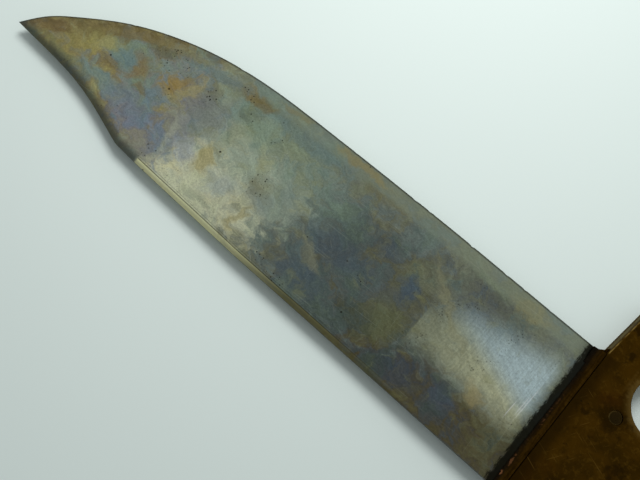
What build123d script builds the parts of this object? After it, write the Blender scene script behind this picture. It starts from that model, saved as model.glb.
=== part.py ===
"""Knuckle-hilted clip-point knife: a ground steel blade whose tang is riveted between two brass plates.

The drawing is laid out from the line where the blade meets the brass: x runs to the tip, y runs to the
spine and the cutting edge is at -y. The knife lies flat on its lower brass plate. The model's origin is
under the middle of its bounding box, on the surface that the knife rests on, so every sketch plane
carries the same shift from the drawing to the model.
"""

import math
import os

from build123d import *

os.makedirs("parts", exist_ok=True)

# Layers of the hilt, from the surface that the knife rests on
BLADE_T = 3.6
PLATE_T = 2.4
CORE_Z = PLATE_T
CORE_TOP = CORE_Z + BLADE_T
MID_Z = CORE_Z + BLADE_T / 2
HILT_T = BLADE_T + 2 * PLATE_T

# Blade outline: cutting edge from heel to tip, then the concave clip back to the spine
SPINE_Y = 29.05
EDGE_Y = -28.3
TIP = (232.8, 17.4)
BELLY = [(48, EDGE_Y), (90, -27.75), (120, -27), (147, -25.5), (165, -22.7), (185, -16.9), (205, -7.4),
         (218, 1.5), (227, 9.2)]
CLIP = [(220, 18), (205, 19.1), (190, 21.8), (180, 24.7)]
CLIP_TOP = (171, 27.45)
CLIP_END = (161, 27.95)
SPINE_START_X = 112.0

# Blade grinds
DISTAL_TAPER = 0.6
EDGE_BEVEL = 7.0
EDGE_LAND = 0.3
SWAGE_WIDTH = 4.2
SWAGE_LAND = 1.2
CHAMFER_WIDTH = 1.9
CHAMFER_DROP = 0.9
CHAMFER_FULL_X = 62.0
CHAMFER_FADE_X = 20.0

# Tang: as wide as the palm bar, with the full width of the blade let in up to its shoulder
SHOULDER_X = -8.0
TANG_Y = -7.0

# Hilt outline
FRONT_X = -4.4
EAR = [(-7.2, -54.0), (-15.0, -54.0), (-25.0, -43.0)]
EAR_CORNER_R = 3.5
PALM = [(-119.0, 14.5), (-88.0, 23.5), (-53.0, 20.0), (-28.0, 23.0)]
PALM_START = (-11.0, SPINE_Y)
HOLE_R = 10.7
HOLE_COUNT = 4
HOLE_PITCH = 26.0
FIRST_HOLE = (-28.85, -25.7)
RING_R = 19.6
SCALLOP_R = 4.0
BUTT_TURN_Y = -6.0
PLATE_EASE = 0.5

# Braze along the front of the hilt, and in the notch at the blade's heel
BRAZE_TOE_X = -0.2
BRAZE_SAG = 0.25
BEAD_REACH = 3.4
BEAD_DROP = 3.2
BEAD_SAG = 0.5

# Rivets: large ones through the web and the palm bar, small ones between the finger rings
HILT_RIVET_R = 2.4
HILT_RIVETS = [(-18.3, -13.4), (-18.3, 17.0), (-49.0, 6.0), (-82.0, 8.0), (-114.0, 4.0)]
RING_RIVET_R = 1.8
RING_RIVET_Y = -39.0

HOLES = [(FIRST_HOLE[0] - HOLE_PITCH * i, FIRST_HOLE[1]) for i in range(HOLE_COUNT)]
RING_RIVETS = [(hole[0] - HOLE_PITCH / 2, RING_RIVET_Y) for hole in HOLES[:-1]]
BUTT_X = HOLES[-1][0] - RING_R
SHIFT_X = (TIP[0] + BUTT_X) / 2
SHIFT_Y = (SPINE_Y + EAR[0][1]) / 2
OUTSIDE = 50.0
PAST = 1.0


def level(z):
    """The drawing's plane at height z."""
    return Plane(origin=(-SHIFT_X, -SHIFT_Y, z))


def side(y):
    """The plane along the knife at y: its own axes are x, to the tip, and z."""
    return Plane(origin=(-SHIFT_X, y - SHIFT_Y, 0), x_dir=(1, 0, 0), z_dir=(0, -1, 0))


def section(x):
    """The plane across the knife at x: its own axes are y, to the spine, and z."""
    return Plane(origin=(x - SHIFT_X, -SHIFT_Y, 0), x_dir=(0, 1, 0), z_dir=(1, 0, 0))


def beside(points, distance):
    """The points moved by a distance to the left of the way that they run."""
    moved = []
    for i, point in enumerate(points):
        before, after = points[max(i - 1, 0)], points[min(i + 1, len(points) - 1)]
        run = math.hypot(after[0] - before[0], after[1] - before[1])
        dx, dy = (after[0] - before[0]) / run, (after[1] - before[1]) / run
        moved.append((point[0] - dy * distance, point[1] + dx * distance))
    return moved


def grind_faces(curve, closing, width, land):
    """A cutter's two ends. Its slope meets the blade's wall half the land above the middle plane, and meets
    the face a width inside the wall; it runs a little past both, so that it cuts them cleanly."""
    faces = []
    rise = (BLADE_T - land) / 2 / width
    for inset in (-PAST, width + PAST):
        with BuildSketch(level(MID_Z + land / 2 + rise * inset)) as face:
            with BuildLine():
                ground = Spline(*beside(curve, inset))
                Polyline(ground @ 1, *closing, ground @ 0)
            make_face()
        faces.append(face.sketch)
    return faces


def chamfer_face(x, y, share):
    """The spine chamfer's cross-section at x, where the spine is at y, at a share of its full width."""
    with BuildSketch(section(x)) as face:
        with BuildLine():
            inner, outer = y - CHAMFER_WIDTH * share, y + PAST
            Polyline((inner, CORE_TOP), (outer, CORE_TOP - CHAMFER_DROP * share), (outer, CORE_TOP + PAST),
                     (inner, CORE_TOP + PAST), close=True)
        make_face()
    return face.sketch


def hilt_outline(z):
    """The brass plates' outline at height z, with its finger rings and finger holes."""
    with BuildSketch(level(z)) as outline:
        with BuildLine():
            Polyline(PALM_START, (FRONT_X, SPINE_Y), (FRONT_X, EDGE_Y), *EAR, HOLES[0],
                     (BUTT_X, HOLES[-1][1]), (BUTT_X, BUTT_TURN_Y))
            Spline((BUTT_X, BUTT_TURN_Y), *PALM, PALM_START, tangents=((0, 1), (1, 0.55)),
                   tangent_scalars=(1.5, 1.5))
        make_face()
        with Locations(*HOLES):
            Circle(RING_R)
        for x in [rivet[0] for rivet in RING_RIVETS] + [EAR[2][0]]:
            fillet([v for v in outline.vertices() if abs(v.X - x) < 2 and v.Y < RING_RIVET_Y], SCALLOP_R)
        fillet(outline.vertices().group_by(Axis.Y)[0], EAR_CORNER_R)
        with Locations(*HOLES):
            Circle(HOLE_R, mode=Mode.SUBTRACT)
    return outline.sketch


def tang_room(z):
    """The part of the hilt's middle layer, at height z, that the tang fills."""
    with BuildSketch(level(z)) as area:
        with Locations((SHOULDER_X, TANG_Y)):
            Rectangle(OUTSIDE - BUTT_X, OUTSIDE, align=(Align.MAX, Align.MIN))
    return area.sketch


def shoulder_room(z):
    """The part of the middle layer, at height z, that the full width of the blade fills."""
    with BuildSketch(level(z)) as area:
        with Locations((SHOULDER_X, EDGE_Y)):
            Rectangle(OUTSIDE, 2 * OUTSIDE, align=(Align.MIN, Align.MIN))
    return area.sketch


# Cutters for the blade, each with its mirror image for the other face
with BuildPart() as edge_grind:
    heel_to_tip = [(FRONT_X, EDGE_Y), (20, EDGE_Y), *BELLY, TIP, (237, 23.4)]
    loft(grind_faces(heel_to_tip, [(250, 23), (250, -OUTSIDE), (FRONT_X, -OUTSIDE)], EDGE_BEVEL, EDGE_LAND),
         ruled=True)
    mirror(about=level(MID_Z))

with BuildPart() as swage_grind:
    clip = [(241, 16.4), TIP, *CLIP, CLIP_TOP, CLIP_END]
    loft(grind_faces(clip, [(CLIP_END[0], OUTSIDE), (250, OUTSIDE)], SWAGE_WIDTH, SWAGE_LAND), ruled=True)
    mirror(about=level(MID_Z))

with BuildPart() as spine_grind:
    loft([chamfer_face(*CLIP_END, 1), chamfer_face(SPINE_START_X, SPINE_Y, 1)], ruled=True)
    loft([chamfer_face(SPINE_START_X, SPINE_Y, 1), chamfer_face(CHAMFER_FULL_X, SPINE_Y, 1)], ruled=True)
    loft([chamfer_face(CHAMFER_FULL_X, SPINE_Y, 1), chamfer_face(CHAMFER_FADE_X, SPINE_Y, 0.05)], ruled=True)
    mirror(about=level(MID_Z))

with BuildPart() as taper_grind:
    with BuildSketch(side(SPINE_Y + 1)):
        with BuildLine():
            Polyline((0, CORE_TOP), (TIP[0] + 5, CORE_TOP - DISTAL_TAPER), (TIP[0] + 5, CORE_TOP + 1),
                     (0, CORE_TOP + 1), close=True)
        make_face()
    extrude(amount=SPINE_Y - EDGE_Y + 2)
    mirror(about=level(MID_Z))

# Blade and tang, in one piece of steel
with BuildPart() as blade:
    with BuildSketch(level(CORE_Z)):
        with BuildLine():
            Polyline(CLIP_TOP, CLIP_END, (SPINE_START_X, SPINE_Y), (SHOULDER_X, SPINE_Y),
                     (SHOULDER_X, EDGE_Y), BELLY[0])
            Spline(*BELLY, TIP, tangents=((1, 0), (5, 8)))
            Spline(TIP, *CLIP, CLIP_TOP)
        make_face()
    extrude(amount=BLADE_T)
    extrude(hilt_outline(CORE_Z) & tang_room(CORE_Z), amount=BLADE_T)
    add([edge_grind.part, swage_grind.part, spine_grind.part, taper_grind.part], mode=Mode.SUBTRACT)
    with Locations(level(0)):
        with Locations(*HILT_RIVETS[1:]):
            Hole(HILT_RIVET_R)

# Brass spacer with the finger rings, the same thickness as the tang beside it
with BuildPart() as knuckle_spacer:
    extrude(hilt_outline(CORE_Z) - tang_room(CORE_Z) - shoulder_room(CORE_Z), amount=BLADE_T)
    with Locations(level(0)):
        with Locations(HILT_RIVETS[0]):
            Hole(HILT_RIVET_R)
        with Locations(*RING_RIVETS):
            Hole(RING_RIVET_R)

# Brass plates on both sides, their outer edges eased
with BuildPart() as upper_plate:
    extrude(hilt_outline(CORE_TOP), amount=PLATE_T)
    fillet(upper_plate.faces().sort_by(Axis.Z)[-1].edges(), PLATE_EASE)
    with Locations(level(0)):
        with Locations(*HILT_RIVETS):
            Hole(HILT_RIVET_R)
        with Locations(*RING_RIVETS):
            Hole(RING_RIVET_R)

with BuildPart() as lower_plate:
    mirror(upper_plate.part, about=level(MID_Z))

# Braze that fills the corner between the blade and the front of each plate
with BuildPart() as upper_braze:
    with BuildSketch(side(SPINE_Y)):
        with BuildLine():
            crest, toe = (FRONT_X, HILT_T - PLATE_EASE), (BRAZE_TOE_X, CORE_TOP)
            middle = ((crest[0] + toe[0]) / 2 - BRAZE_SAG, (crest[1] + toe[1]) / 2 - BRAZE_SAG)
            ThreePointArc(crest, middle, toe)
            Polyline(toe, (BRAZE_TOE_X, MID_Z), (FRONT_X, MID_Z), crest)
        make_face()
    extrude(amount=SPINE_Y - EDGE_Y)
    add(blade.part, mode=Mode.SUBTRACT)

with BuildPart() as lower_braze:
    mirror(upper_braze.part, about=level(MID_Z))

# Bead of braze in the notch between the blade's heel and the ear
with BuildPart() as heel_bead:
    with BuildSketch(level(CORE_Z)):
        with BuildLine():
            rake = (EAR[0][0] - FRONT_X) / (EAR[0][1] - EDGE_Y)
            nose, foot = (FRONT_X + BEAD_REACH, EDGE_Y), (FRONT_X - BEAD_DROP * rake, EDGE_Y - BEAD_DROP)
            hollow = ((nose[0] + foot[0]) / 2 - BEAD_SAG, (nose[1] + foot[1]) / 2 + BEAD_SAG)
            ThreePointArc(nose, hollow, foot)
            Polyline(foot, (FRONT_X, EDGE_Y), nose)
        make_face()
    extrude(amount=BLADE_T)

# Rivets, filed flush with both plates
with BuildPart() as hilt_rivets:
    with BuildSketch(level(0)):
        with Locations(*HILT_RIVETS):
            Circle(HILT_RIVET_R)
    extrude(amount=HILT_T)

with BuildPart() as ring_rivets:
    with BuildSketch(level(0)):
        with Locations(*RING_RIVETS):
            Circle(RING_RIVET_R)
    extrude(amount=HILT_T)

blade.part.label = "blade"
export_step(blade.part, "parts/blade.step")
knuckle_spacer.part.label = "knuckle_spacer"
export_step(knuckle_spacer.part, "parts/knuckle_spacer.step")
upper_plate.part.label = "upper_hilt_plate"
export_step(upper_plate.part, "parts/upper_hilt_plate.step")
lower_plate.part.label = "lower_hilt_plate"
export_step(lower_plate.part, "parts/lower_hilt_plate.step")
upper_braze.part.label = "upper_braze_fillet"
export_step(upper_braze.part, "parts/upper_braze_fillet.step")
lower_braze.part.label = "lower_braze_fillet"
export_step(lower_braze.part, "parts/lower_braze_fillet.step")
heel_bead.part.label = "heel_braze_bead"
export_step(heel_bead.part, "parts/heel_braze_bead.step")
hilt_rivets.part.label = "hilt_rivets"
export_step(hilt_rivets.part, "parts/hilt_rivets.step")
ring_rivets.part.label = "ring_rivets"
export_step(ring_rivets.part, "parts/ring_rivets.step")
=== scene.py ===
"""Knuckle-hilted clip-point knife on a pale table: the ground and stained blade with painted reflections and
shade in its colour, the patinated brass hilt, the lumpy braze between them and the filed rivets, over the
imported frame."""

import math

import bmesh
import bpy
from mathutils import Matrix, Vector, kdtree, noise
from mathutils.bvhtree import BVHTree


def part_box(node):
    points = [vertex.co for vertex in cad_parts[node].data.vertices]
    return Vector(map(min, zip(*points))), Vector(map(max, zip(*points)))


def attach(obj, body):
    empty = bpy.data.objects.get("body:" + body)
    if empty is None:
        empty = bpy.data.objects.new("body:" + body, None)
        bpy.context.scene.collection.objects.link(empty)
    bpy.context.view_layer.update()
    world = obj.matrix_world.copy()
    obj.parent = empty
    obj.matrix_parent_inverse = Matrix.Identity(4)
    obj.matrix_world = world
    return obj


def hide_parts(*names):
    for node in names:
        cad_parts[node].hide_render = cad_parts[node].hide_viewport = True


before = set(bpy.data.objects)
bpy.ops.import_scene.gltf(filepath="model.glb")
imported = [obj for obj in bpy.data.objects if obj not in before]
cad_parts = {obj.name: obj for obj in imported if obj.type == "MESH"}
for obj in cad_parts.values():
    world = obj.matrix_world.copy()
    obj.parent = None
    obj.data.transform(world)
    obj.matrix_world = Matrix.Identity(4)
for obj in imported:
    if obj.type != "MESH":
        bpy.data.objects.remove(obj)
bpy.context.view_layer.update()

MM = 0.001
blade_low, blade_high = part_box("blade")

# The knife's own drawing: x runs from the hilt to the tip and y from the cutting edge to the spine, in mm
TIP_X = 232.8
SPINE_Y = 29.05
HEEL_Y = -28.3
ORIGIN = Vector((blade_high.x - TIP_X * MM, blade_high.y - SPINE_Y * MM, 0.0))
MIDDLE_Z = (blade_low.z + blade_high.z) / 2

# Blade grinds, in mm
HALF_THICKNESS = 1.8
TAPER = 0.6
EDGE_BEVEL, EDGE_LAND = 7.0, 0.15
SWAGE, SWAGE_LAND = 4.2, 0.6
CHAMFER, CHAMFER_DROP = 1.9, 0.9
CHAMFER_FROM, CHAMFER_FULL = 20.0, 62.0
CLIP_X = 161.0
SEAM_X = -3.0

# How far each grind's corner is rounded, how deep the flats wave and the edge chatters, and the thinnest half
BEVEL_ROUND, SWAGE_ROUND, CHAMFER_ROUND = 0.22, 0.3, 0.08
WAVE, CHATTER, THINNEST = 0.012, 0.05, 0.1

# Dings in the cutting edge: distance from the hilt, half width and depth, in mm
NICKS = [(17.5, 0.5, 0.132), (28.6, 0.6, 0.15), (36.5, 0.9, 0.18), (51.6, 0.7, 0.27), (70.5, 0.6, 0.15),
         (77.0, 1.1, 0.18), (104.0, 0.5, 0.12), (156.2, 1.2, 0.18), (199.0, 0.6, 0.12)]

# Finger holes, counted from the hilt's front, and the rivets, with one midway between each two holes
FIRST_HOLE, HOLE_PITCH, HOLE_R = (-28.85, -25.7), 26.0, 10.7
LAST_HOLE_X = FIRST_HOLE[0] - 3 * HOLE_PITCH
HILT_RIVETS = [(-18.3, -13.4), (-18.3, 17.0), (-49.0, 6.0), (-82.0, 8.0), (-114.0, 4.0)]
RING_RIVETS = [(FIRST_HOLE[0] - HOLE_PITCH * (i + 0.5), -39.0) for i in range(3)]
HILT_RIVET_R, RING_RIVET_R = 2.4, 1.8


# --- Node helpers -----------------------------------------------------------------------------------------

def place(tree, kind, feeds=(), **settings):
    """Adds a node, sets it up, and fills its inputs from numbers or from other nodes' outputs."""
    node = tree.nodes.new(kind)
    for name, value in settings.items():
        setattr(node, name, value)
    for socket, value in dict(feeds).items():
        if isinstance(value, bpy.types.NodeSocket):
            tree.links.new(value, node.inputs[socket])
        else:
            node.inputs[socket].default_value = value
    return node


def calc(tree, operation, a, b=0.0, clamp=False):
    return place(tree, "ShaderNodeMath", {0: a, 1: b}, operation=operation, use_clamp=clamp).outputs[0]


def turn_up(tree, value, low, high, least=0.0, most=1.0):
    """A smooth step from one amount to another as a value goes from low to high."""
    feeds = {"Value": value, "From Min": low, "From Max": high, "To Min": least, "To Max": most}
    return place(tree, "ShaderNodeMapRange", feeds, interpolation_type="SMOOTHSTEP").outputs[0]


def blend(tree, share, under, over, way="MIX"):
    feeds = {0: share, 6: under, 7: over}
    return place(tree, "ShaderNodeMix", feeds, data_type="RGBA", blend_type=way).outputs[2]


def cloud(tree, where, scale, detail=3.0, roughness=0.55, spread=0.0):
    feeds = {"Vector": where, "Scale": scale, "Detail": detail, "Roughness": roughness, "Distortion": spread}
    return place(tree, "ShaderNodeTexNoise", feeds).outputs["Fac"]


def stretched(tree, where, scale, angle=0.0):
    """The place turned by an angle and then stretched, for grain and scratches that run one way."""
    turned = place(tree, "ShaderNodeVectorRotate", {"Vector": where, "Angle": angle},
                   rotation_type="Z_AXIS").outputs[0]
    return place(tree, "ShaderNodeVectorMath", {0: turned, 1: scale}, operation="MULTIPLY").outputs[0]


def seen(red, green, blue):
    """A colour as it looks on the finished metal, as the amounts of light that it is made of."""
    def light(part):
        part /= 255
        return part / 12.92 if part <= 0.04045 else ((part + 0.055) / 1.055) ** 2.4
    return (light(red), light(green), light(blue), 1.0)


def new_group(name, takes, gives):
    """A node group with named inputs and outputs: its tree, its inputs and its outputs."""
    tree = bpy.data.node_groups.new(name, "ShaderNodeTree")
    for label, kind, usual in takes:
        tree.interface.new_socket(label, in_out="INPUT", socket_type=kind).default_value = usual
    for label, kind in gives:
        tree.interface.new_socket(label, in_out="OUTPUT", socket_type=kind)
    return tree, tree.nodes.new("NodeGroupInput").outputs, tree.nodes.new("NodeGroupOutput").inputs


FLOAT, VECTOR, COLOUR = "NodeSocketFloat", "NodeSocketVector", "NodeSocketColor"


# --- Shared effects ---------------------------------------------------------------------------------------

def make_drawing_place():
    """Object coordinates in the knife's own drawing, in mm."""
    tree, _, gives = new_group("drawing place", [], [("Place", VECTOR)])
    where = place(tree, "ShaderNodeTexCoord").outputs["Object"]
    drawn = place(tree, "ShaderNodeVectorMath", {0: where, 1: (1 / MM,) * 3, 2: tuple(-ORIGIN / MM)},
                  operation="MULTIPLY_ADD")
    tree.links.new(drawn.outputs[0], gives["Place"])
    return tree


def make_soft_oval():
    """One soft-edged, ragged oval of another colour over what is under it."""
    tree, takes, gives = new_group(
        "stain",
        [("Under", COLOUR, (0.5, 0.5, 0.5, 1)), ("Colour", COLOUR, (0.5, 0.5, 0.5, 1)),
         ("Place", VECTOR, (0, 0, 0)), ("Centre", VECTOR, (0, 0, 0)), ("Reach", VECTOR, (1, 1, 1)),
         ("Turn", FLOAT, 0.0), ("Softness", FLOAT, 0.4), ("Raggedness", FLOAT, 0.0),
         ("Strength", FLOAT, 1.0)],
        [("Colour", COLOUR), ("Mask", FLOAT)])
    off = place(tree, "ShaderNodeVectorMath", {0: takes["Place"], 1: takes["Centre"]}, operation="SUBTRACT")
    flat = place(tree, "ShaderNodeVectorMath", {0: off.outputs[0], 1: (1, 1, 0)}, operation="MULTIPLY")
    turned = place(tree, "ShaderNodeVectorRotate", {"Vector": flat.outputs[0], "Angle": takes["Turn"]},
                   rotation_type="Z_AXIS")
    sized = place(tree, "ShaderNodeVectorMath", {0: turned.outputs[0], 1: takes["Reach"]}, operation="DIVIDE")
    far = place(tree, "ShaderNodeVectorMath", {0: sized.outputs[0]}, operation="LENGTH").outputs["Value"]
    ragged = calc(tree, "ADD", far, takes["Raggedness"])
    inner = calc(tree, "SUBTRACT", 1.0, takes["Softness"])
    outer = calc(tree, "ADD", 1.0, takes["Softness"])
    mask = calc(tree, "MULTIPLY", turn_up(tree, ragged, outer, inner), takes["Strength"])
    tree.links.new(mask, gives["Mask"])
    tree.links.new(blend(tree, mask, takes["Under"], takes["Colour"]), gives["Colour"])
    return tree


def make_scratches():
    """Thin broken lines that run one way, from 0 to 1."""
    tree, takes, gives = new_group(
        "scratches",
        [("Place", VECTOR, (0, 0, 0)), ("Turn", FLOAT, 0.0), ("Per mm", FLOAT, 2.0),
         ("Length mm", FLOAT, 20.0), ("Amount", FLOAT, 0.3)],
        [("Mask", FLOAT)])
    turned = place(tree, "ShaderNodeVectorRotate", {"Vector": takes["Place"], "Angle": takes["Turn"]},
                   rotation_type="Z_AXIS")
    lengthwise = calc(tree, "DIVIDE", 1.0, takes["Length mm"])
    scale = place(tree, "ShaderNodeCombineXYZ", {"X": lengthwise, "Y": takes["Per mm"], "Z": 0.2})
    grain = place(tree, "ShaderNodeVectorMath", {0: turned.outputs[0], 1: scale.outputs[0]},
                  operation="MULTIPLY")
    lines = cloud(tree, grain.outputs[0], 1.0, detail=2.0)
    broken = cloud(tree, takes["Place"], 0.13, detail=1.0)
    least = calc(tree, "SUBTRACT", 0.78, calc(tree, "MULTIPLY", takes["Amount"], 0.28))
    mask = turn_up(tree, lines, least, calc(tree, "ADD", least, 0.07))
    shown = turn_up(tree, broken, 0.42, 0.56)
    tree.links.new(calc(tree, "MULTIPLY", mask, shown), gives["Mask"])
    return tree


def make_pits():
    """Small round pits, far apart and of mixed size, from 0 to 1."""
    tree, takes, gives = new_group(
        "pits",
        [("Place", VECTOR, (0, 0, 0)), ("Spacing mm", FLOAT, 4.0), ("Size", FLOAT, 0.1),
         ("Amount", FLOAT, 0.4)],
        [("Mask", FLOAT)])
    per_mm = calc(tree, "DIVIDE", 1.0, takes["Spacing mm"])
    cells = place(tree, "ShaderNodeTexVoronoi", {"Vector": takes["Place"], "Scale": per_mm})
    chance = place(tree, "ShaderNodeSeparateColor", {0: cells.outputs["Color"]})
    own = calc(tree, "MULTIPLY", takes["Size"], calc(tree, "ADD", chance.outputs[1], 0.3))
    pit = turn_up(tree, cells.outputs["Distance"], own, calc(tree, "MULTIPLY", own, 0.5))
    kept = calc(tree, "LESS_THAN", chance.outputs[0], takes["Amount"])
    tree.links.new(calc(tree, "MULTIPLY", pit, kept), gives["Mask"])
    return tree


def make_worn_edge():
    """Where a rounded edge catches wear: faces that are neither flat nor upright, broken up by a cloud."""
    tree, takes, gives = new_group("worn edge", [("Place", VECTOR, (0, 0, 0)), ("Amount", FLOAT, 1.0)],
                                   [("Mask", FLOAT)])
    facing = place(tree, "ShaderNodeNewGeometry").outputs["Normal"]
    up = calc(tree, "ABSOLUTE", place(tree, "ShaderNodeSeparateXYZ", {0: facing}).outputs["Z"])
    slanted = calc(tree, "MULTIPLY", turn_up(tree, up, 0.05, 0.3), turn_up(tree, up, 0.98, 0.8))
    patchy = turn_up(tree, cloud(tree, takes["Place"], 0.35, detail=4.0), 0.35, 0.6)
    mask = calc(tree, "MULTIPLY", slanted, calc(tree, "MULTIPLY", patchy, takes["Amount"]))
    tree.links.new(mask, gives["Mask"])
    return tree


DRAWING_PLACE, SOFT_OVAL, SCRATCHES = make_drawing_place(), make_soft_oval(), make_scratches()
PITS, WORN_EDGE = make_pits(), make_worn_edge()


def use(tree, group, feeds=()):
    return place(tree, "ShaderNodeGroup", feeds, node_tree=group).outputs


def new_finish(name):
    """A material with its shader, and the drawing place to lay patterns by."""
    finish = bpy.data.materials.new(name)
    finish.use_nodes = True
    tree = finish.node_tree
    return finish, tree, tree.nodes["Principled BSDF"], use(tree, DRAWING_PLACE)["Place"]


# --- Finishes ---------------------------------------------------------------------------------------------

# Steel's stain colours, and the colours of the reflections painted on it, as they look on the blade
STEEL = (98, 107, 96)
PALE, CREAM, ICE = (192, 200, 152), (152, 152, 124), (150, 165, 168)
DARK, DUSK = (70, 77, 67), (52, 53, 42)
BLUE, DEEP_BLUE, TEAL = (84, 98, 100), (68, 78, 86), (116, 131, 113)
LAVENDER, VIOLET = (101, 110, 115), (96, 99, 110)
STRAW, GOLD = (115, 115, 79), (136, 126, 82)
BROWN, UMBER, OLIVE = (98, 88, 60), (80, 76, 54), (92, 98, 74)

# Each patch: its middle and reach in mm, its turn in degrees, its colour, softness and strength
# The wide patches are stains, and some of them are partly painted reflections
WIDE_STAINS_AND_REFLECTIONS = [
    # The dark middle of the blade: partly a stain, partly a painted darker reflection
    ((72, 9), (36, 25), 0, DARK, 0.48, 0.95),
    ((128, -7), (30, 18), 0, TEAL, 0.50, 0.90),
    # This patch and the next, the pale zone by the spine towards the tip: partly stains, partly a painted
    # highlight
    ((127, 6), (22, 12), 0, (150, 158, 136), 0.50, 0.90),
    ((139, 21), (25, 13), 0, PALE, 0.45, 0.95),
    ((167, 10), (13, 22), 14, LAVENDER, 0.35, 0.95),
    ((205, 1), (40, 24), 12, STRAW, 0.30, 0.90),
    # This patch and the next, darker by the spine and by the heel beside the hilt: partly stains, partly the
    # painted fall-off of the reflection by the hilt
    ((16, 27), (52, 17), 0, DUSK, 0.40, 0.95),
    ((33, -15), (19, 8), 0, (68, 79, 80), 0.50, 0.85),
    ((4, -22), (10, 6), 0, BLUE, 0.50, 0.40),
]
STAINS = [
    ((90, 19.5), (9, 4.5), 0, DEEP_BLUE, 0.6, 0.60),
    ((86, 4.5), (14, 4.5), 6, DEEP_BLUE, 0.6, 0.60),
    ((95, 11), (4, 10), 20, BLUE, 0.6, 0.35),
    ((57.5, -2), (4, 4), 0, (62, 76, 90), 0.6, 0.75),
    ((72, -7.6), (4.5, 2.2), 0, DEEP_BLUE, 0.6, 0.55),
    ((62, 5), (6, 3), 30, DEEP_BLUE, 0.6, 0.35),
    ((41, 22), (6, 4), 0, (58, 66, 76), 0.6, 0.60),
    ((27, 19), (5, 3.5), 0, (66, 74, 84), 0.6, 0.55),
    ((56, 12), (8, 6), 0, (84, 88, 62), 0.6, 0.55),
    ((66, 17), (6, 5), 0, (62, 72, 62), 0.6, 0.50),
    ((93, 11), (8, 1.8), -35, (112, 112, 92), 0.7, 0.60),
    ((45, -7), (14, 1.3), -38, (120, 118, 92), 0.7, 0.50),
    ((20, 11), (4, 2.4), -20, (130, 120, 86), 0.6, 0.55),
    ((22, -24), (7, 2.4), 0, (116, 108, 72), 0.6, 0.65),
    ((38, -22), (7, 2), 0, (104, 114, 92), 0.6, 0.50),
    ((84, -20.5), (8, 1.6), 5, (104, 98, 68), 0.6, 0.50),
    ((98, -24.8), (10, 2), 0, (124, 108, 62), 0.5, 0.80),
    ((129, -25.2), (8, 1.2), 4, (116, 104, 66), 0.5, 0.60),
    ((145, -19), (10, 2.8), 8, (104, 88, 48), 0.5, 0.80),
    ((119, -19), (17, 3.4), 3, (94, 110, 108), 0.6, 0.55),
    ((119, 18), (1.3, 7), 4, GOLD, 0.6, 0.50),
    ((132, 14), (5, 4), 20, (126, 138, 140), 0.7, 0.55),
    ((150, 13), (6, 3), -30, (132, 138, 142), 0.7, 0.60),
    ((118, 9), (6, 4), 10, (108, 118, 116), 0.7, 0.55),
    ((134, 23), (6, 1.6), 0, (136, 142, 120), 0.7, 0.60),
    ((112, 1), (5, 5), 0, (102, 114, 108), 0.7, 0.50),
    ((127, -3), (2, 5), 35, (140, 138, 100), 0.7, 0.50),
    ((142, 10), (3.6, 6), -8, GOLD, 0.6, 0.70),
    ((140, -4), (4, 5), 0, (132, 128, 92), 0.6, 0.35),
    ((141, -13), (3.5, 3), 30, UMBER, 0.7, 0.45),
    ((158, 16), (1.4, 13), 6, (140, 142, 124), 0.7, 0.50),
    ((121.5, 5), (4, 3), -50, (104, 98, 70), 0.8, 0.55),
    ((157, -7.5), (3, 4), 30, UMBER, 0.7, 0.45),
    ((134, -10), (7, 5), 0, (124, 138, 116), 0.6, 0.50),
    ((154, -2), (9, 9), 0, VIOLET, 0.6, 0.45),
    ((158, -17), (10, 2.6), 10, (90, 104, 104), 0.5, 0.70),
    ((170, -3), (2.6, 7), -24, (118, 98, 52), 0.6, 0.70),
    ((164, -6), (2.4, 5), -30, GOLD, 0.6, 0.50),
    ((186, 0.5), (5, 4.4), 30, (110, 90, 48), 0.6, 0.65),
    ((179, 7), (4, 1.8), 0, BROWN, 0.5, 0.75),
    ((194, 7), (5, 1.8), 4, BROWN, 0.5, 0.75),
    ((190, 13.5), (13, 3), -4, (94, 112, 108), 0.5, 0.75),
    ((178, 15), (8, 5), -15, VIOLET, 0.6, 0.60),
    ((191.5, 1.5), (3.6, 4.4), 20, (86, 106, 108), 0.5, 0.80),
    ((173, 5), (6, 2.4), 10, (88, 104, 110), 0.5, 0.75),
    ((180, -4), (5, 3), 20, (98, 114, 106), 0.6, 0.55),
    ((202, 2.5), (8, 4.5), 38, (128, 122, 74), 0.5, 0.75),
    ((213, 10), (9, 4), 12, (116, 108, 66), 0.5, 0.55),
    ((197, -7.5), (31, 3.6), 33, (94, 84, 54), 0.5, 0.80),
    ((176, -15.5), (12, 2.8), 18, (102, 92, 56), 0.6, 0.55),
    ((183, -10), (6, 2.6), 25, UMBER, 0.6, 0.65),
    ((224, 10.5), (9, 4), 38, (92, 78, 52), 0.5, 0.75),
    ((207, 15.5), (12, 1.8), -4, OLIVE, 0.6, 0.55),
]

# Bright scores across the blade by the hilt: middle and half length in mm
SCORES = [(5.2, 1.5, 6.5), (6.0, 3.0, 4.0), (8.4, 6.5, 3.0)]

# Where small pits crowd together: middle and reach in mm
PITTED = [((121, 4), (4.5, 5)), ((71.5, 5.6), (2.5, 1.5)), ((105, 23.5), (3.5, 2.5)), ((161, 22), (3, 3)),
          ((157, -8), (3, 4)), ((140, -12), (3.5, 3)), ((177, -10), (7, 4)), ((127.5, -12.5), (2, 1.5)),
          ((96, 25), (5, 1.6)), ((147, -18), (5, 1.5))]

# Where the bare steel by the hilt ends, and where the heat tint starts and is full, in mm along the blade
BARE_TO = 49.1
HEAT_FROM, HEAT_FULL = 145.0, 182.0

# How much light the finished metal would give back if its colour were white
ROOM_LIGHT = 0.50

# What brass and braze give back where they are seen at a slant
SLANT_TINT = (0.55, 0.50, 0.44, 1.0)


def metal(colour):
    """The base colour that a metal needs to look this colour under the room's light."""
    return tuple(min(part / ROOM_LIGHT, 0.95) for part in seen(*colour)[:3]) + (1.0,)


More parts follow.
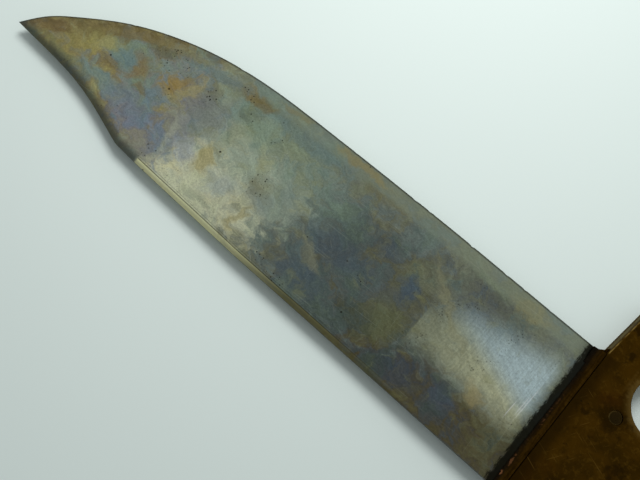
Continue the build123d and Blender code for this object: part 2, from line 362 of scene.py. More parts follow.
def make_blade_steel():
    finish, tree, shader, where = new_finish("blade steel with stains and painted light")

    def drift(from_where, scale, reach):
        """The place pushed about by a cloud, so that what is drawn there wanders."""
        push = place(tree, "ShaderNodeTexNoise", {"Vector": from_where, "Scale": scale, "Detail": 3.0})
        even = place(tree, "ShaderNodeVectorMath", {0: push.outputs["Color"], 1: (0.5, 0.5, 0.5)},
                     operation="SUBTRACT")
        return place(tree, "ShaderNodeVectorMath", {0: even.outputs[0], 1: reach, 2: from_where},
                     operation="MULTIPLY_ADD").outputs[0]

    drifted = drift(drift(where, 0.10, (10, 8, 0)), 0.36, (5.5, 4, 0))
    ragged = calc(tree, "MULTIPLY", calc(tree, "SUBTRACT", cloud(tree, drifted, 0.30, 6.0, 0.66), 0.5), 1.7)
    across = cloud(tree, stretched(tree, where, (1.6, 0.02, 0.1)), 1.0, 3.0, 0.7)
    along = cloud(tree, stretched(tree, where, (0.02, 1.5, 0.1)), 1.0, 3.0, 0.7)

    def lay_patches(under, stains):
        """The steel's colour with each patch of a list laid over it in turn: stains, and among the wide ones
        painted reflections too.
        """
        for middle, reach, turn, shade, softness, strength in stains:
            under = use(tree, SOFT_OVAL, {
                "Under": under, "Colour": metal(shade), "Place": drifted, "Centre": (*middle, 0),
                "Reach": (*reach, 1), "Turn": -math.radians(turn), "Softness": softness,
                "Raggedness": ragged, "Strength": strength})["Colour"]
        return under

    colour = lay_patches(metal(STEEL), WIDE_STAINS_AND_REFLECTIONS)

    # Bare, cross-brushed steel by the hilt, with a straight border where the finish changes; its pale, icy
    # colour, fading away from the hilt, is partly a painted reflection of a lamp
    spot = place(tree, "ShaderNodeSeparateXYZ", {0: where}).outputs
    right = turn_up(tree, spot["X"], BARE_TO + 0.5, BARE_TO - 0.5)
    soft_right = turn_up(tree, spot["X"], 52.0, 36.0)
    low = turn_up(tree, spot["Y"], -6.0, 4.0)
    border = calc(tree, "ADD", calc(tree, "MULTIPLY", right, low),
                  calc(tree, "MULTIPLY", soft_right, calc(tree, "SUBTRACT", 1.0, low)))
    bare = calc(tree, "MULTIPLY", turn_up(tree, spot["X"], 0.5, 6.0), border)
    bare = calc(tree, "MULTIPLY", bare, turn_up(tree, spot["Y"], 17.0, 5.0))
    leaning = calc(tree, "SUBTRACT", spot["Y"], calc(tree, "MULTIPLY", spot["X"], 0.15))
    bare = calc(tree, "MULTIPLY", bare, turn_up(tree, leaning, -22.0, -9.0))
    warm = turn_up(tree, calc(tree, "ADD", spot["Y"], calc(tree, "MULTIPLY", spot["X"], 0.3)), 1.0, 11.0)
    polished_and_sheen = blend(tree, warm, metal(ICE), metal(CREAM))
    brushed = calc(tree, "MULTIPLY", bare, turn_up(tree, across, 0.2, 0.75, 0.70, 1.0))
    sheen_fading = turn_up(tree, spot["X"], 50.0, 12.0, 0.40, 1.0)
    colour = blend(tree, calc(tree, "MULTIPLY", brushed, sheen_fading), colour, polished_and_sheen)

    # Heat tint: one thin film whose colour turns from straw to brown, violet, blue and teal as it thickens
    film = calc(tree, "ADD", calc(tree, "MULTIPLY", cloud(tree, drifted, 0.055, 5.0, 0.55), 0.75),
                calc(tree, "MULTIPLY", cloud(tree, drifted, 0.33, 4.0, 0.6), 0.25))
    tint = place(tree, "ShaderNodeValToRGB", {0: film})
    steps = ((0.36, (92, 112, 104)), (0.43, (80, 100, 112)), (0.48, (92, 94, 108)), (0.52, (108, 90, 66)),
             (0.56, (124, 108, 62)), (0.61, (134, 130, 92)), (0.66, (104, 116, 104)))
    while len(tint.color_ramp.elements) < len(steps):
        tint.color_ramp.elements.new(0.5)
    for stop, (thickness, shade) in zip(tint.color_ramp.elements, steps):
        stop.position, stop.color = thickness, metal(shade)
    heated = turn_up(tree, spot["X"], HEAT_FROM, HEAT_FULL, 0.20, 0.55)
    heated = calc(tree, "MULTIPLY", heated, calc(tree, "SUBTRACT", 1.0, bare))
    colour = blend(tree, heated, colour, tint.outputs[0])

    colour = lay_patches(colour, STAINS)

    # Faint clouding all over, so that no stretch of steel is one colour
    mottle = cloud(tree, drifted, 0.16, 6.0, 0.6)
    colour = blend(tree, turn_up(tree, mottle, 0.54, 0.74, 0.0, 0.35), colour, metal(STRAW))
    colour = blend(tree, turn_up(tree, mottle, 0.45, 0.28, 0.0, 0.30), colour, metal(BLUE))
    fine = turn_up(tree, cloud(tree, where, 1.4, 6.0, 0.8), 0.3, 0.7, 0.82, 1.17)
    streaky = turn_up(tree, cloud(tree, stretched(tree, drifted, (0.10, 0.9, 1.0), 0.5), 1.0, 4.0, 0.6),
                      0.3, 0.7, 0.90, 1.10)
    fine = calc(tree, "MULTIPLY", calc(tree, "MULTIPLY", fine, streaky),
                turn_up(tree, spot["X"], 125.0, 178.0, 1.0, 1.30))
    shading = place(tree, "ShaderNodeCombineColor", {0: fine, 1: fine, 2: fine}).outputs[0]
    colour = blend(tree, 1.0, colour, shading, "MULTIPLY")

    # The grinds: a cutting bevel lightened as a painted reflection, burnt by the tip, the very edge darkened
    # as painted shade, and a swage along the clip darkened as a painted darker reflection
    from_edge = place(tree, "ShaderNodeAttribute", attribute_name="from_edge").outputs["Fac"]
    from_back = place(tree, "ShaderNodeAttribute", attribute_name="from_back").outputs["Fac"]
    bevel = turn_up(tree, from_edge, EDGE_BEVEL + 0.8, EDGE_BEVEL - 1.6, 0.0, 0.42)
    bevel = calc(tree, "MULTIPLY", bevel, turn_up(tree, spot["X"], 172.0, 128.0))
    colour = blend(tree, bevel, colour, metal((104, 111, 96)))
    burnt = calc(tree, "MULTIPLY", turn_up(tree, from_edge, 6.0, 1.5, 0.0, 0.55),
                 turn_up(tree, spot["X"], 140.0, 175.0))
    patchy = turn_up(tree, cloud(tree, drifted, 0.25, 4.0), 0.40, 0.58, 0.1, 1.0)
    burnt = calc(tree, "MULTIPLY", burnt, patchy)
    colour = blend(tree, burnt, colour, metal((78, 66, 40)))
    colour = blend(tree, turn_up(tree, from_edge, 0.9, 0.3, 0.0, 0.75), colour, metal((44, 46, 40)))
    on_clip = turn_up(tree, spot["X"], CLIP_X - 1.5, CLIP_X + 1.0)
    swage = calc(tree, "MULTIPLY", on_clip, turn_up(tree, from_back, SWAGE + 0.4, 0.6, 0.0, 0.8))
    colour = blend(tree, swage, colour, metal((54, 60, 56)))

    # A painted highlight along the spine chamfer, dull towards the hilt and gold further out, streaked, with
    # two dark lines beside it
    on_spine = turn_up(tree, spot["X"], CLIP_X, CLIP_X - 1.0)
    on_spine = calc(tree, "MULTIPLY", on_spine, turn_up(tree, spot["X"], 22, 75))
    lit = calc(tree, "MULTIPLY", on_spine, turn_up(tree, from_back, CHAMFER + 0.4, CHAMFER - 0.2, 0.0, 0.85))
    drawn_out = cloud(tree, stretched(tree, where, (0.05, 0.9, 1.0)), 1.0, 4.0)
    lit = calc(tree, "MULTIPLY", lit, turn_up(tree, drawn_out, 0.30, 0.62, 0.45, 1.0))
    chamfer_highlight = blend(tree, turn_up(tree, spot["X"], 85.0, 125.0), metal((96, 92, 60)), metal((210, 198, 142)))
    colour = blend(tree, lit, colour, chamfer_highlight)

    def dark_line(gap, half_width):
        feeds = {0: from_back, 1: CHAMFER + gap, 2: half_width}
        return place(tree, "ShaderNodeMath", feeds, operation="COMPARE").outputs[0]

    first, second = dark_line(0.05, 0.16), dark_line(0.85, 0.10)
    dark_lines = calc(tree, "MAXIMUM", first, calc(tree, "MULTIPLY", second, 0.5))
    dark_lines = calc(tree, "MULTIPLY", on_spine, dark_lines)
    colour = blend(tree, calc(tree, "MULTIPLY", dark_lines, 0.75), colour, metal((48, 48, 34)))

    # Scratches, pits and rust specks
    crosswise = use(tree, SCRATCHES, {"Place": where, "Turn": math.radians(86), "Per mm": 3.2,
                                      "Length mm": 26.0, "Amount": 0.45})["Mask"]
    slanting = use(tree, SCRATCHES, {"Place": where, "Turn": math.radians(38), "Per mm": 2.6,
                                     "Length mm": 9.0, "Amount": 0.25})["Mask"]
    lengthwise = use(tree, SCRATCHES, {"Place": where, "Turn": math.radians(-3), "Per mm": 2.4,
                                       "Length mm": 60.0, "Amount": 0.55})["Mask"]
    scored = calc(tree, "MAXIMUM", calc(tree, "MAXIMUM", calc(tree, "MULTIPLY", crosswise, 0.5), slanting),
                  calc(tree, "MULTIPLY", lengthwise, 0.6))
    colour = blend(tree, calc(tree, "MULTIPLY", scored, 0.14), colour, metal((172, 176, 160)))
    for x, y, reach in SCORES:
        line = use(tree, SOFT_OVAL, {"Place": where, "Centre": (x, y, 0), "Reach": (0.16, reach, 1), "Turn": 0.03,
                                 "Softness": 0.5, "Raggedness": calc(tree, "MULTIPLY", ragged, 0.6)})["Mask"]
        colour = blend(tree, calc(tree, "MULTIPLY", line, 0.5), colour, metal((206, 214, 208)))
    pits = use(tree, PITS, {"Place": where, "Spacing mm": 5.0, "Size": 0.085, "Amount": 0.40})["Mask"]
    specks = use(tree, PITS, {"Place": where, "Spacing mm": 0.8, "Size": 0.40, "Amount": 0.50})["Mask"]
    corroded = turn_up(tree, cloud(tree, where, 0.07, 3.0), 0.58, 0.70, 0.0, 0.6)
    for middle, reach in PITTED:
        corroded = calc(tree, "MAXIMUM", corroded, use(tree, SOFT_OVAL, {
            "Place": drifted, "Centre": (*middle, 0), "Reach": (*reach, 1), "Raggedness": ragged})["Mask"])
    holes = calc(tree, "MAXIMUM", pits, calc(tree, "MULTIPLY", specks, corroded))
    colour = blend(tree, calc(tree, "MULTIPLY", holes, 0.85), colour, metal((36, 33, 26)))

    # Darker towards the braze, then black crust against it, crumbled and of uneven width, and painted shade
    # on the upright walls
    crumbs = cloud(tree, stretched(tree, where, (1.6, 0.5, 1.0)), 1.0, 5.0, 0.75)
    crumbs = calc(tree, "MULTIPLY", crumbs, -4.4)
    width = calc(tree, "MULTIPLY", cloud(tree, where, 0.12, 2.0), -1.4)
    crust = calc(tree, "ADD", spot["X"], calc(tree, "ADD", crumbs, width))
    colour = blend(tree, turn_up(tree, spot["X"], 5.0, 0.5, 0.0, 0.30), colour, metal((52, 52, 42)))
    colour = blend(tree, turn_up(tree, crust, -0.9, -2.1, 0.0, 0.96), colour, metal((17, 16, 11)))
    facing = place(tree, "ShaderNodeNewGeometry").outputs["Normal"]
    up = calc(tree, "ABSOLUTE", place(tree, "ShaderNodeSeparateXYZ", {0: facing}).outputs["Z"])
    upright_shade = turn_up(tree, up, 0.55, 0.15, 0.0, 0.85)
    colour = blend(tree, upright_shade, colour, metal((44, 42, 32)))

    tree.links.new(colour, shader.inputs["Base Color"])
    shader.inputs["Metallic"].default_value = 1.0
    dull = turn_up(tree, mottle, 0.3, 0.7, 0.34, 0.46)
    dull = calc(tree, "ADD", dull, calc(tree, "MULTIPLY", holes, 0.25))
    dull = calc(tree, "SUBTRACT", dull, calc(tree, "MULTIPLY", bare, 0.06))
    tree.links.new(dull, shader.inputs["Roughness"])
    grain = calc(tree, "ADD", calc(tree, "MULTIPLY", across, calc(tree, "ADD", bare, 0.25)),
                 calc(tree, "MULTIPLY", along, 0.3))
    height = calc(tree, "SUBTRACT", grain, calc(tree, "MULTIPLY", holes, 2.0))
    height = calc(tree, "SUBTRACT", height, calc(tree, "MULTIPLY", scored, 0.4))
    bump = place(tree, "ShaderNodeBump", {"Height": height, "Strength": 0.25, "Distance": 0.03 * MM})
    tree.links.new(bump.outputs[0], shader.inputs["Normal"])
    return finish


def make_brass(name, patina, worn, grime, rub):
    """Brass under a brown patina, rubbed bright at its edges and round the finger holes."""
    finish, tree, shader, where = new_finish(name)
    patches = cloud(tree, where, 0.09, 5.0, 0.62, 0.6)
    flecks = cloud(tree, where, 0.55, 5.0, 0.7)
    shade = tuple(part * 0.75 for part in patina)
    colour = blend(tree, turn_up(tree, patches, 0.36, 0.62), metal(patina), metal(shade))
    colour = blend(tree, turn_up(tree, flecks, 0.50, 0.68, 0.0, 0.55), colour, metal(worn))
    stained = turn_up(tree, cloud(tree, where, 0.2, 4.0, 0.6), 0.55, 0.66, 0.0, 0.8)
    colour = blend(tree, stained, colour, metal(grime))
    reddened = turn_up(tree, cloud(tree, where, 0.05, 2.0), 0.45, 0.66, 0.0, 0.6)
    colour = blend(tree, reddened, colour, metal((50, 28, 4)))
    ragged = calc(tree, "MULTIPLY", calc(tree, "SUBTRACT", flecks, 0.5), 1.6)
    for x, y in HILT_RIVETS:
        colour = use(tree, SOFT_OVAL, {
            "Under": colour, "Colour": metal(grime), "Place": where, "Centre": (x + 1, y + 1.5, 0),
            "Reach": (4.6, 3.6, 1), "Turn": 0.7, "Softness": 0.4, "Raggedness": ragged,
            "Strength": 0.75})["Colour"]

    # The rims of the finger holes, which repeat at one pitch, counted from well behind the hilt's butt
    spot = place(tree, "ShaderNodeSeparateXYZ", {0: where}).outputs
    along = calc(tree, "SUBTRACT", spot["X"], FIRST_HOLE[0] + HOLE_PITCH / 2 - 8 * HOLE_PITCH)
    offset = calc(tree, "SUBTRACT", calc(tree, "MODULO", along, HOLE_PITCH), HOLE_PITCH / 2)
    across = calc(tree, "SUBTRACT", spot["Y"], FIRST_HOLE[1])
    flat = place(tree, "ShaderNodeCombineXYZ", {"X": offset, "Y": across})
    far = place(tree, "ShaderNodeVectorMath", {0: flat.outputs[0]}, operation="LENGTH").outputs["Value"]
    rim = turn_up(tree, calc(tree, "ADD", far, calc(tree, "MULTIPLY", flecks, 4.0)),
                  HOLE_R + 5.0, HOLE_R + 2.0, 0.0, rub)
    behind_front = turn_up(tree, spot["X"], FIRST_HOLE[0] + 14.45, FIRST_HOLE[0] + 13.05)
    before_butt = turn_up(tree, spot["X"], LAST_HOLE_X - 14.35, LAST_HOLE_X - 13.05)
    among_holes = calc(tree, "MULTIPLY", behind_front, before_butt)
    rim = calc(tree, "MULTIPLY", rim, among_holes)
    worn_edge = use(tree, WORN_EDGE, {"Place": where, "Amount": 0.85})["Mask"]
    beside_blade = calc(tree, "MULTIPLY", turn_up(tree, spot["X"], -10.5, -5.5),
                        turn_up(tree, spot["Y"], HEEL_Y - 1, HEEL_Y + 1))
    worn_edge = calc(tree, "MULTIPLY", worn_edge, calc(tree, "SUBTRACT", 1.0, beside_blade))
    colour = blend(tree, calc(tree, "MULTIPLY", beside_blade, 0.8), colour, metal(grime))
    bright = calc(tree, "MAXIMUM", rim, worn_edge)
    colour = blend(tree, bright, colour, metal((112, 90, 46)))

    scores = use(tree, SCRATCHES, {"Place": where, "Turn": math.radians(20), "Per mm": 1.6,
                                   "Length mm": 14.0, "Amount": 0.45})["Mask"]
    cross = use(tree, SCRATCHES, {"Place": where, "Turn": math.radians(-58), "Per mm": 2.2,
                                  "Length mm": 7.0, "Amount": 0.40})["Mask"]
    scored = calc(tree, "MAXIMUM", scores, cross)
    colour = blend(tree, calc(tree, "MULTIPLY", scored, 0.30), colour, metal((96, 72, 30)))
    pits = use(tree, PITS, {"Place": where, "Spacing mm": 2.4, "Size": 0.16, "Amount": 0.35})["Mask"]
    colour = blend(tree, calc(tree, "MULTIPLY", pits, 0.7), colour, metal((24, 17, 6)))

    tree.links.new(colour, shader.inputs["Base Color"])
    shader.inputs["Metallic"].default_value = 1.0
    shader.inputs["Specular Tint"].default_value = SLANT_TINT
    dull = turn_up(tree, flecks, 0.3, 0.7, 0.40, 0.58)
    dull = calc(tree, "SUBTRACT", dull, calc(tree, "MULTIPLY", bright, 0.12))
    tree.links.new(dull, shader.inputs["Roughness"])
    height = calc(tree, "SUBTRACT", calc(tree, "ADD", patches, calc(tree, "MULTIPLY", flecks, 0.5)),
                  calc(tree, "ADD", calc(tree, "MULTIPLY", scored, 0.3), calc(tree, "MULTIPLY", pits, 0.6)))
    bump = place(tree, "ShaderNodeBump", {"Height": height, "Strength": 0.5, "Distance": 0.12 * MM})
    tree.links.new(bump.outputs[0], shader.inputs["Normal"])
    return finish


# Copper streaks along the toe of the braze, partly painted glints where its beads catch the light: middle and
# half length in mm
GLINTS = [(-1.9, -6.5, 1.6), (-1.7, -1.6, 2.2), (-2.0, 2.4, 1.4), (-1.9, 19.5, 2.4), (-1.6, 24.5, 1.4)]


def make_braze():
    """Sooted braze: the plate's brown at its crest, black crust at its toe, copper on a few beads, partly
    painted as glints.
    """
    finish, tree, shader, where = new_finish("sooted braze")
    spot = place(tree, "ShaderNodeSeparateXYZ", {0: where}).outputs
    soot = cloud(tree, where, 0.9, 4.0, 0.6)
    streaks = cloud(tree, stretched(tree, where, (1.2, 0.12, 0.4)), 1.0, 3.0, 0.6)
    browned = blend(tree, turn_up(tree, streaks, 0.35, 0.65), metal((34, 21, 3)), metal((50, 33, 6)))
    toe = calc(tree, "ADD", spot["X"], calc(tree, "MULTIPLY", soot, 2.4))
    colour = blend(tree, turn_up(tree, toe, -2.2, 0.4, 0.0, 0.95), browned, metal((17, 14, 10)))
    copper = turn_up(tree, cloud(tree, where, 0.16, 2.0, 0.5), 0.52, 0.60)
    standing = turn_up(tree, cloud(tree, stretched(tree, where, (1.1, 0.6, 1.0)), 1.0, 3.0, 0.6), 0.50, 0.64)
    by_toe = turn_up(tree, spot["X"], -2.8, -1.8)
    by_toe = calc(tree, "MULTIPLY", by_toe, turn_up(tree, spot["X"], -0.6, -1.1))
    beaded = calc(tree, "MULTIPLY", calc(tree, "MULTIPLY", copper, standing), by_toe)
    ragged = calc(tree, "MULTIPLY", calc(tree, "SUBTRACT", soot, 0.42), 7.0)
    for x, y, reach in GLINTS:
        glint = use(tree, SOFT_OVAL, {"Place": where, "Centre": (x, y, 0), "Reach": (0.34, reach, 1),
                                  "Softness": 0.5, "Raggedness": ragged})["Mask"]
        beaded = calc(tree, "MAXIMUM", calc(tree, "MULTIPLY", beaded, 0.6), glint)
    colour = blend(tree, calc(tree, "MULTIPLY", beaded, 0.75), colour, metal((122, 80, 52)))
    tree.links.new(colour, shader.inputs["Base Color"])
    shader.inputs["Metallic"].default_value = 1.0
    shader.inputs["Specular Tint"].default_value = SLANT_TINT
    tree.links.new(turn_up(tree, soot, 0.3, 0.7, 0.66, 0.44), shader.inputs["Roughness"])
    bump = place(tree, "ShaderNodeBump", {"Height": soot, "Strength": 0.5, "Distance": 0.12 * MM})
    tree.links.new(bump.outputs[0], shader.inputs["Normal"])
    return finish


BLADE_STEEL = make_blade_steel()
PLATE_BRASS = make_brass("patinated plate brass", (54, 35, 4), (74, 52, 12), (30, 19, 3), 0.35)
SPACER_BRASS = make_brass("grey spacer brass", (92, 82, 56), (112, 100, 68), (54, 44, 26), 0.30)
RIVET_BRASS = make_brass("tarnished rivet brass", (50, 38, 14), (70, 54, 24), (30, 22, 8), 0.0)
BRAZE = make_braze()


# --- Blade ------------------------------------------------------------------------------------------------

def at(x, y, z=0.0):
    """A point of the drawing, in mm, as a point of the model."""
    return Vector((ORIGIN.x + x * MM, ORIGIN.y + y * MM, z * MM))


def merged_copy(node):
    """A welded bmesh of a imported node's mesh."""
    shape = bmesh.new()
    shape.from_mesh(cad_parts[node].data)
    bmesh.ops.remove_doubles(shape, verts=shape.verts, dist=0.002 * MM)
    return shape


def as_piece(shape, name, finish, sharp=None):
    mesh = bpy.data.meshes.new(name)
    shape.to_mesh(mesh)
    shape.free()
    mesh.materials.append(finish)
    if sharp is not None:
        mesh.shade_smooth()
        mesh.set_sharp_from_angle(angle=math.radians(sharp))
    piece = bpy.data.objects.new(name, mesh)
    bpy.context.scene.collection.objects.link(piece)
    return piece


def soft_least(a, b, radius):
    """The lesser of two heights, with the corner between them rounded."""
    near = max(radius - abs(a - b), 0.0) / radius
    return min(a, b) - near * near * radius / 4


def smooth(share):
    share = min(max(share, 0.0), 1.0)
    return share * share * (3 - 2 * share)


def blade_stations():
    """Places along the blade for its cross-sections, closer together at dings and towards the tip."""
    coarse, fine, finest, near_tip = 0.6, 0.35, 0.16, 214
    stations, x = [], SEAM_X
    while x < TIP_X - 0.05:
        stations.append(x)
        by_ding = any(abs(x - at_x) < 2.5 * width for at_x, width, _ in NICKS)
        x += finest if by_ding else fine if x > near_tip else coarse
    return stations + [TIP_X - 0.03]


def section_shares():
    """Where the rows of faces lie across the blade, from the edge (0) to the back (1)."""
    height = SPINE_Y - HEEL_Y
    from_edge = [0, 0.12, 0.3, 0.6, 1.1, 1.8, 2.7, 3.7, 4.7, 5.5, 6.1, 6.6, 7.0, 7.4, 7.9, 8.5, 9.3, 10.3]
    from_back = [0, 0.2, 0.5, 0.9, 1.3, 1.6, 1.85, 2.1, 2.4, 2.9, 3.4, 3.9, 4.3, 4.8, 5.5, 6.5]
    middle, rows = [], 26
    low, high = from_edge[-1], height - from_back[-1]
    for i in range(1, rows):
        middle.append(low + (high - low) * i / rows)
    return [d / height for d in from_edge + middle] + [1 - d / height for d in reversed(from_back)]


def make_blade():
    """The blade as a fine skin over its outline, its grinds run together, with dings in its edge."""
    packed = merged_copy("blade")
    walls = BVHTree.FromBMesh(packed)

    def wall_y(x, way):
        hit = walls.ray_cast(Vector((at(x, 0).x, ORIGIN.y - way * 0.2, MIDDLE_Z)), Vector((0, way, 0)))[0]
        return (hit.y - ORIGIN.y) / MM

    stations = blade_stations()
    lows = [wall_y(x, 1) for x in stations]
    highs = [wall_y(x, -1) for x in stations]
    edge, back = kdtree.KDTree(len(stations)), kdtree.KDTree(len(stations))
    for i, x in enumerate(stations):
        edge.insert((x, lows[i], 0), i)
        back.insert((x, highs[i], 0), i)
    edge.balance()
    back.balance()

    def half_thickness(x, y, from_edge, from_back):
        half = HALF_THICKNESS - TAPER * max(x, 0) / (TIP_X + 5)
        waves = WAVE * noise.noise(Vector((x * 0.05, y * 0.06, 4.0))) * smooth((x - 2) / 8)
        half += waves - WAVE
        bevel = EDGE_LAND + from_edge * (HALF_THICKNESS - EDGE_LAND) / EDGE_BEVEL
        half = soft_least(half, bevel, BEVEL_ROUND)
        if x > CLIP_X - 1.5:
            swage = SWAGE_LAND + from_back * (HALF_THICKNESS - SWAGE_LAND) / SWAGE
            swage += 3 * (1 - smooth((x - CLIP_X + 1.5) / 1.8))
            half = soft_least(half, swage, SWAGE_ROUND)
        if x < CLIP_X + 1:
            share = smooth((x - CHAMFER_FROM) / (CHAMFER_FULL - CHAMFER_FROM))
            width, drop = CHAMFER * share + 0.02, CHAMFER_DROP * share
            fade = 3 * smooth((x - CLIP_X + 0.5) / 1.5)
            chamfer = HALF_THICKNESS - drop + from_back * drop / width + fade
            half = soft_least(half, chamfer, CHAMFER_ROUND)
        return max(half, THINNEST)

    shape = bmesh.new()
    edge_mm = shape.verts.layers.float.new("from_edge")
    back_mm = shape.verts.layers.float.new("from_back")
    shares = section_shares()
    rings = []
    for x, low, high in zip(stations, lows, highs):
        ding = sum(depth * math.exp(-((x - at_x) / width) ** 2) for at_x, width, depth in NICKS)
        ding += CHATTER * abs(noise.noise(Vector((x * 1.3, 0, 0)))) * smooth((x - 1) / 4)
        faces = ([], [])
        for share in shares:
            y = low + (high - low) * share
            from_edge = edge.find((x, y, 0))[2]
            from_back = back.find((x, y, 0))[2]
            half = half_thickness(x, y, from_edge, from_back)
            dinged = y + ding * math.exp(-(y - low) / 0.8) if high - low > 2 else y
            for side, way in zip(faces, (1, -1)):
                spot = at(x, dinged)
                vert = shape.verts.new((spot.x, min(spot.y, blade_high.y), MIDDLE_Z + way * half * MM))
                vert[edge_mm], vert[back_mm] = from_edge, from_back
                side.append(vert)
        rings.append(faces[1] + faces[0][::-1])
    for here, there in zip(rings, rings[1:]):
        for i in range(len(here)):
            j = (i + 1) % len(here)
            shape.faces.new((here[i], here[j], there[j], there[i]))
    shape.faces.new(rings[0][::-1])
    shape.faces.new(rings[-1])

    # The tang, as packed, behind the seam that the braze covers
    bmesh.ops.bisect_plane(packed, geom=packed.verts[:] + packed.edges[:] + packed.faces[:], dist=1e-7,
                           plane_co=at(SEAM_X, 0), plane_no=(1, 0, 0), clear_outer=True)
    open_edges = [e for e in packed.edges if e.is_boundary]
    bmesh.ops.holes_fill(packed, edges=open_edges, sides=0)
    tang = bpy.data.meshes.new("tang")
    packed.to_mesh(tang)
    packed.free()
    already, far_in = len(shape.verts), 20.0
    shape.from_mesh(tang)
    shape.verts.ensure_lookup_table()
    for vert in shape.verts[already:]:
        vert[edge_mm], vert[back_mm] = far_in, far_in
    bpy.data.meshes.remove(tang)
    bmesh.ops.recalc_face_normals(shape, faces=shape.faces[:])
    return as_piece(shape, "blade_ground", BLADE_STEEL, sharp=28)


blade = make_blade()
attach(blade, "root")
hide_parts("blade")


# --- Braze ------------------------------------------------------------------------------------------------

def make_lumpy(node, name, voxel, lump, depth):
    """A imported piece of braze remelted: rounded off, then pushed in and out in lumps within its own box."""
    low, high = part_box(node)
    piece = as_piece(merged_copy(node), name, BRAZE)
    remelt = piece.modifiers.new("remelt", "REMESH")
    remelt.mode, remelt.voxel_size = "VOXEL", voxel * MM
    round_off = piece.modifiers.new("round off", "SMOOTH")
    round_off.factor, round_off.iterations = 0.5, 1
    melted = bpy.data.meshes.new_from_object(piece.evaluated_get(bpy.context.evaluated_depsgraph_get()))
    piece.modifiers.clear()
    piece.data = melted
    melted.name = name
    normals = [vert.normal.copy() for vert in melted.vertices]
    for vert, out in zip(melted.vertices, normals):
        spot = vert.co / (lump * MM)
        swell = noise.noise(spot) + 0.5 * noise.noise(spot * 2.3)
        vert.co += out * swell * depth * MM
        vert.co = Vector(min(max(c, a), b) for c, a, b in zip(vert.co, low, high))
    melted.shade_smooth()
    return piece


for node in ("upper_braze_fillet", "lower_braze_fillet"):
    ramp = make_lumpy(node, node.replace("fillet", "run"), voxel=0.22, lump=1.5, depth=0.20)
    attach(ramp, "root")
    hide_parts(node)

heel = make_lumpy("heel_braze_bead", "heel_braze_lump", voxel=0.2, lump=1.2, depth=0.25)
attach(heel, "root")
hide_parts("heel_braze_bead")


# --- Rivets -----------------------------------------------------------------------------------------------

def make_rivet_tree():
    """A rivet on each point: a peened shank whose two heads fall away a little towards the rim."""
    tree = bpy.data.node_groups.new("filed rivets", "GeometryNodeTree")
    for label, kind, usual in (("Centres", "NodeSocketGeometry", None), ("Radius", FLOAT, 0.002),
                               ("Height", FLOAT, 0.008), ("Fall", FLOAT, 0.0001),
                               ("Seed", "NodeSocketInt", 3), ("Finish", "NodeSocketMaterial", None)):
        socket = tree.interface.new_socket(label, in_out="INPUT", socket_type=kind)
        if usual is not None:
            socket.default_value = usual
    tree.interface.new_socket("Rivets", in_out="OUTPUT", socket_type="NodeSocketGeometry")
    takes = tree.nodes.new("NodeGroupInput").outputs
    gives = tree.nodes.new("NodeGroupOutput").inputs
    shank = place(tree, "GeometryNodeMeshCylinder", {
        "Vertices": 48, "Side Segments": 4, "Fill Segments": 8, "Radius": takes["Radius"],
        "Depth": takes["Height"]})
    here = place(tree, "GeometryNodeInputPosition").outputs[0]
    parts = place(tree, "ShaderNodeSeparateXYZ", {0: here}).outputs
    flat = place(tree, "ShaderNodeCombineXYZ", {"X": parts["X"], "Y": parts["Y"]}).outputs[0]
    out = place(tree, "ShaderNodeVectorMath", {0: flat}, operation="LENGTH").outputs["Value"]
    share = calc(tree, "POWER", calc(tree, "DIVIDE", out, takes["Radius"]), 5.0)
    end = calc(tree, "DIVIDE", calc(tree, "MULTIPLY", parts["Z"], 2.0), takes["Height"])
    drop = calc(tree, "MULTIPLY", takes["Fall"], -1.0)
    down = calc(tree, "MULTIPLY", calc(tree, "MULTIPLY", share, end), drop)
    shift = place(tree, "ShaderNodeCombineXYZ", {"Z": down}).outputs[0]
    peened = place(tree, "GeometryNodeSetPosition", {"Geometry": shank.outputs["Mesh"], "Offset": shift})
    turn = place(tree, "FunctionNodeRandomValue", {"Seed": takes["Seed"]}, data_type="FLOAT")
    turn.inputs[3].default_value = 6.28
    spin = place(tree, "ShaderNodeCombineXYZ", {"Z": turn.outputs[1]}).outputs[0]
    each = place(tree, "GeometryNodeInstanceOnPoints", {
        "Points": takes["Centres"], "Instance": peened.outputs[0], "Rotation": spin})
    real = place(tree, "GeometryNodeRealizeInstances", {0: each.outputs[0]})
    done = place(tree, "GeometryNodeSetMaterial", {"Geometry": real.outputs[0], "Material": takes["Finish"]})
    tree.links.new(done.outputs[0], gives["Rivets"])
    return tree


RIVET_TREE = make_rivet_tree()


def make_rivets(node, name, centres, radius, fall):
    """A packed row of rivets made again with filed heads, one at each of the same centres."""
    low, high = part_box(node)
    points = bpy.data.meshes.new(name + "_centres")
    points.from_pydata([at(x, y) + Vector((0, 0, (low.z + high.z) / 2)) for x, y in centres], [], [])
    piece = bpy.data.objects.new(name, points)
    bpy.context.scene.collection.objects.link(piece)
    maker = piece.modifiers.new("rivets", "NODES")
    maker.node_group = RIVET_TREE
    amounts = {"Radius": radius * MM, "Height": high.z - low.z, "Fall": fall * MM, "Seed": 7,
               "Finish": RIVET_BRASS}
    for item in RIVET_TREE.interface.items_tree:
        if item.item_type == "SOCKET" and item.in_out == "INPUT" and item.name in amounts:
            maker[item.identifier] = amounts[item.name]
    made = bpy.data.meshes.new_from_object(piece.evaluated_get(bpy.context.evaluated_depsgraph_get()))
    piece.modifiers.clear()
    piece.data = made
    made.name = name
    made.shade_smooth()
    made.set_sharp_from_angle(angle=math.radians(35))
    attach(piece, "root")
    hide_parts(node)


make_rivets("hilt_rivets", "hilt_rivet_heads", HILT_RIVETS, HILT_RIVET_R, fall=0.35)
make_rivets("ring_rivets", "ring_rivet_heads", RING_RIVETS, RING_RIVET_R, fall=0.3)

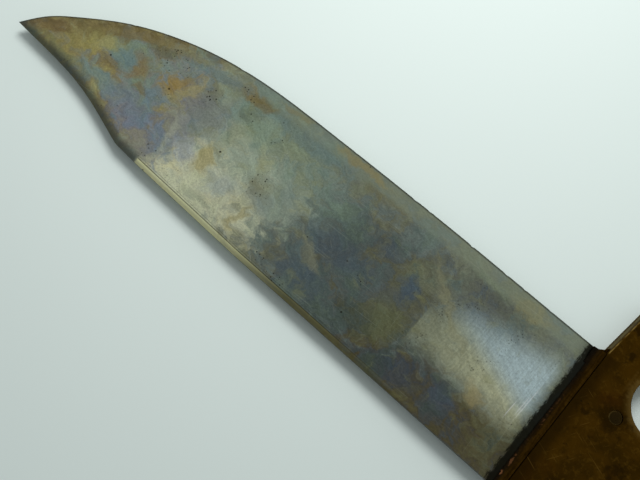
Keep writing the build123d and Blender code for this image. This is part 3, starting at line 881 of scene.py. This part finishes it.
for node, finish in (("upper_hilt_plate", PLATE_BRASS), ("lower_hilt_plate", PLATE_BRASS),
                     ("knuckle_spacer", SPACER_BRASS)):
    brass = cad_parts[node].data
    brass.materials.clear()
    brass.materials.append(finish)


# --- Table, light and camera ------------------------------------------------------------------------------

def make_table():
    """A pale table top, a hair below the knife so that its face and the lower plate's don't coincide."""
    half, top = 3.0, -0.02 * MM
    corners = [(-half, -half, top), (half, -half, top), (half, half, top), (-half, half, top)]
    mesh = bpy.data.meshes.new("table")
    mesh.from_pydata(corners, [], [(0, 1, 2, 3)])
    finish = bpy.data.materials.new("pale table")
    finish.use_nodes = True
    shader = finish.node_tree.nodes["Principled BSDF"]
    shader.inputs["Base Color"].default_value = (0.65, 0.73, 0.71, 1)
    shader.inputs["Roughness"].default_value = 0.9
    shader.inputs["Specular IOR Level"].default_value = 0.1
    mesh.materials.append(finish)
    table = bpy.data.objects.new("table", mesh)
    bpy.context.scene.collection.objects.link(table)
    return table


make_table()


def make_lamp(name, spot, target, width, power, colour):
    """A round soft lamp that lights the scene without showing as a bright disc on the metal."""
    lamp = bpy.data.lights.new(name, "AREA")
    lamp.shape, lamp.size, lamp.energy, lamp.color = "DISK", width, power, colour
    holder = bpy.data.objects.new(name, lamp)
    holder.location = spot
    holder.rotation_euler = (Vector(target) - Vector(spot)).to_track_quat("-Z", "Y").to_euler()
    holder.visible_glossy = False
    bpy.context.scene.collection.objects.link(holder)


make_lamp("side lamp", (0.14, -0.23, 0.33), (0.05, 0.0, 0.0), width=0.20, power=1.35,
          colour=(1.0, 1.0, 0.98))


def make_room():
    """Even light from all round, somewhat brighter from the cutting edge's side than from the spine's."""
    room = bpy.data.worlds.new("soft room")
    room.use_nodes = True
    tree = room.node_tree
    toward = place(tree, "ShaderNodeTexCoord").outputs["Generated"]
    side = place(tree, "ShaderNodeSeparateXYZ", {0: toward}).outputs["Y"]
    back = tree.nodes["Background"]
    back.inputs["Color"].default_value = (0.96, 1.0, 0.99, 1)
    tree.links.new(turn_up(tree, side, -0.9, 0.9, 0.62, 0.26), back.inputs["Strength"])
    return room


bpy.context.scene.world = make_room()
bpy.context.scene.view_settings.view_transform = "Standard"

CAMERA_AT = at(54.8, 47.55, 240.6)
LOOK_AT = at(92.23, 5.48, 6.0)
lens = bpy.data.cameras.new("camera")
lens.lens, lens.sensor_width, lens.clip_start = 39.375, 36.0, 0.01
camera = bpy.data.objects.new("camera", lens)
camera.location = CAMERA_AT
camera.rotation_euler = (LOOK_AT - CAMERA_AT).to_track_quat("-Z", "Y").to_euler()
bpy.context.scene.collection.objects.link(camera)
bpy.context.scene.camera = camera
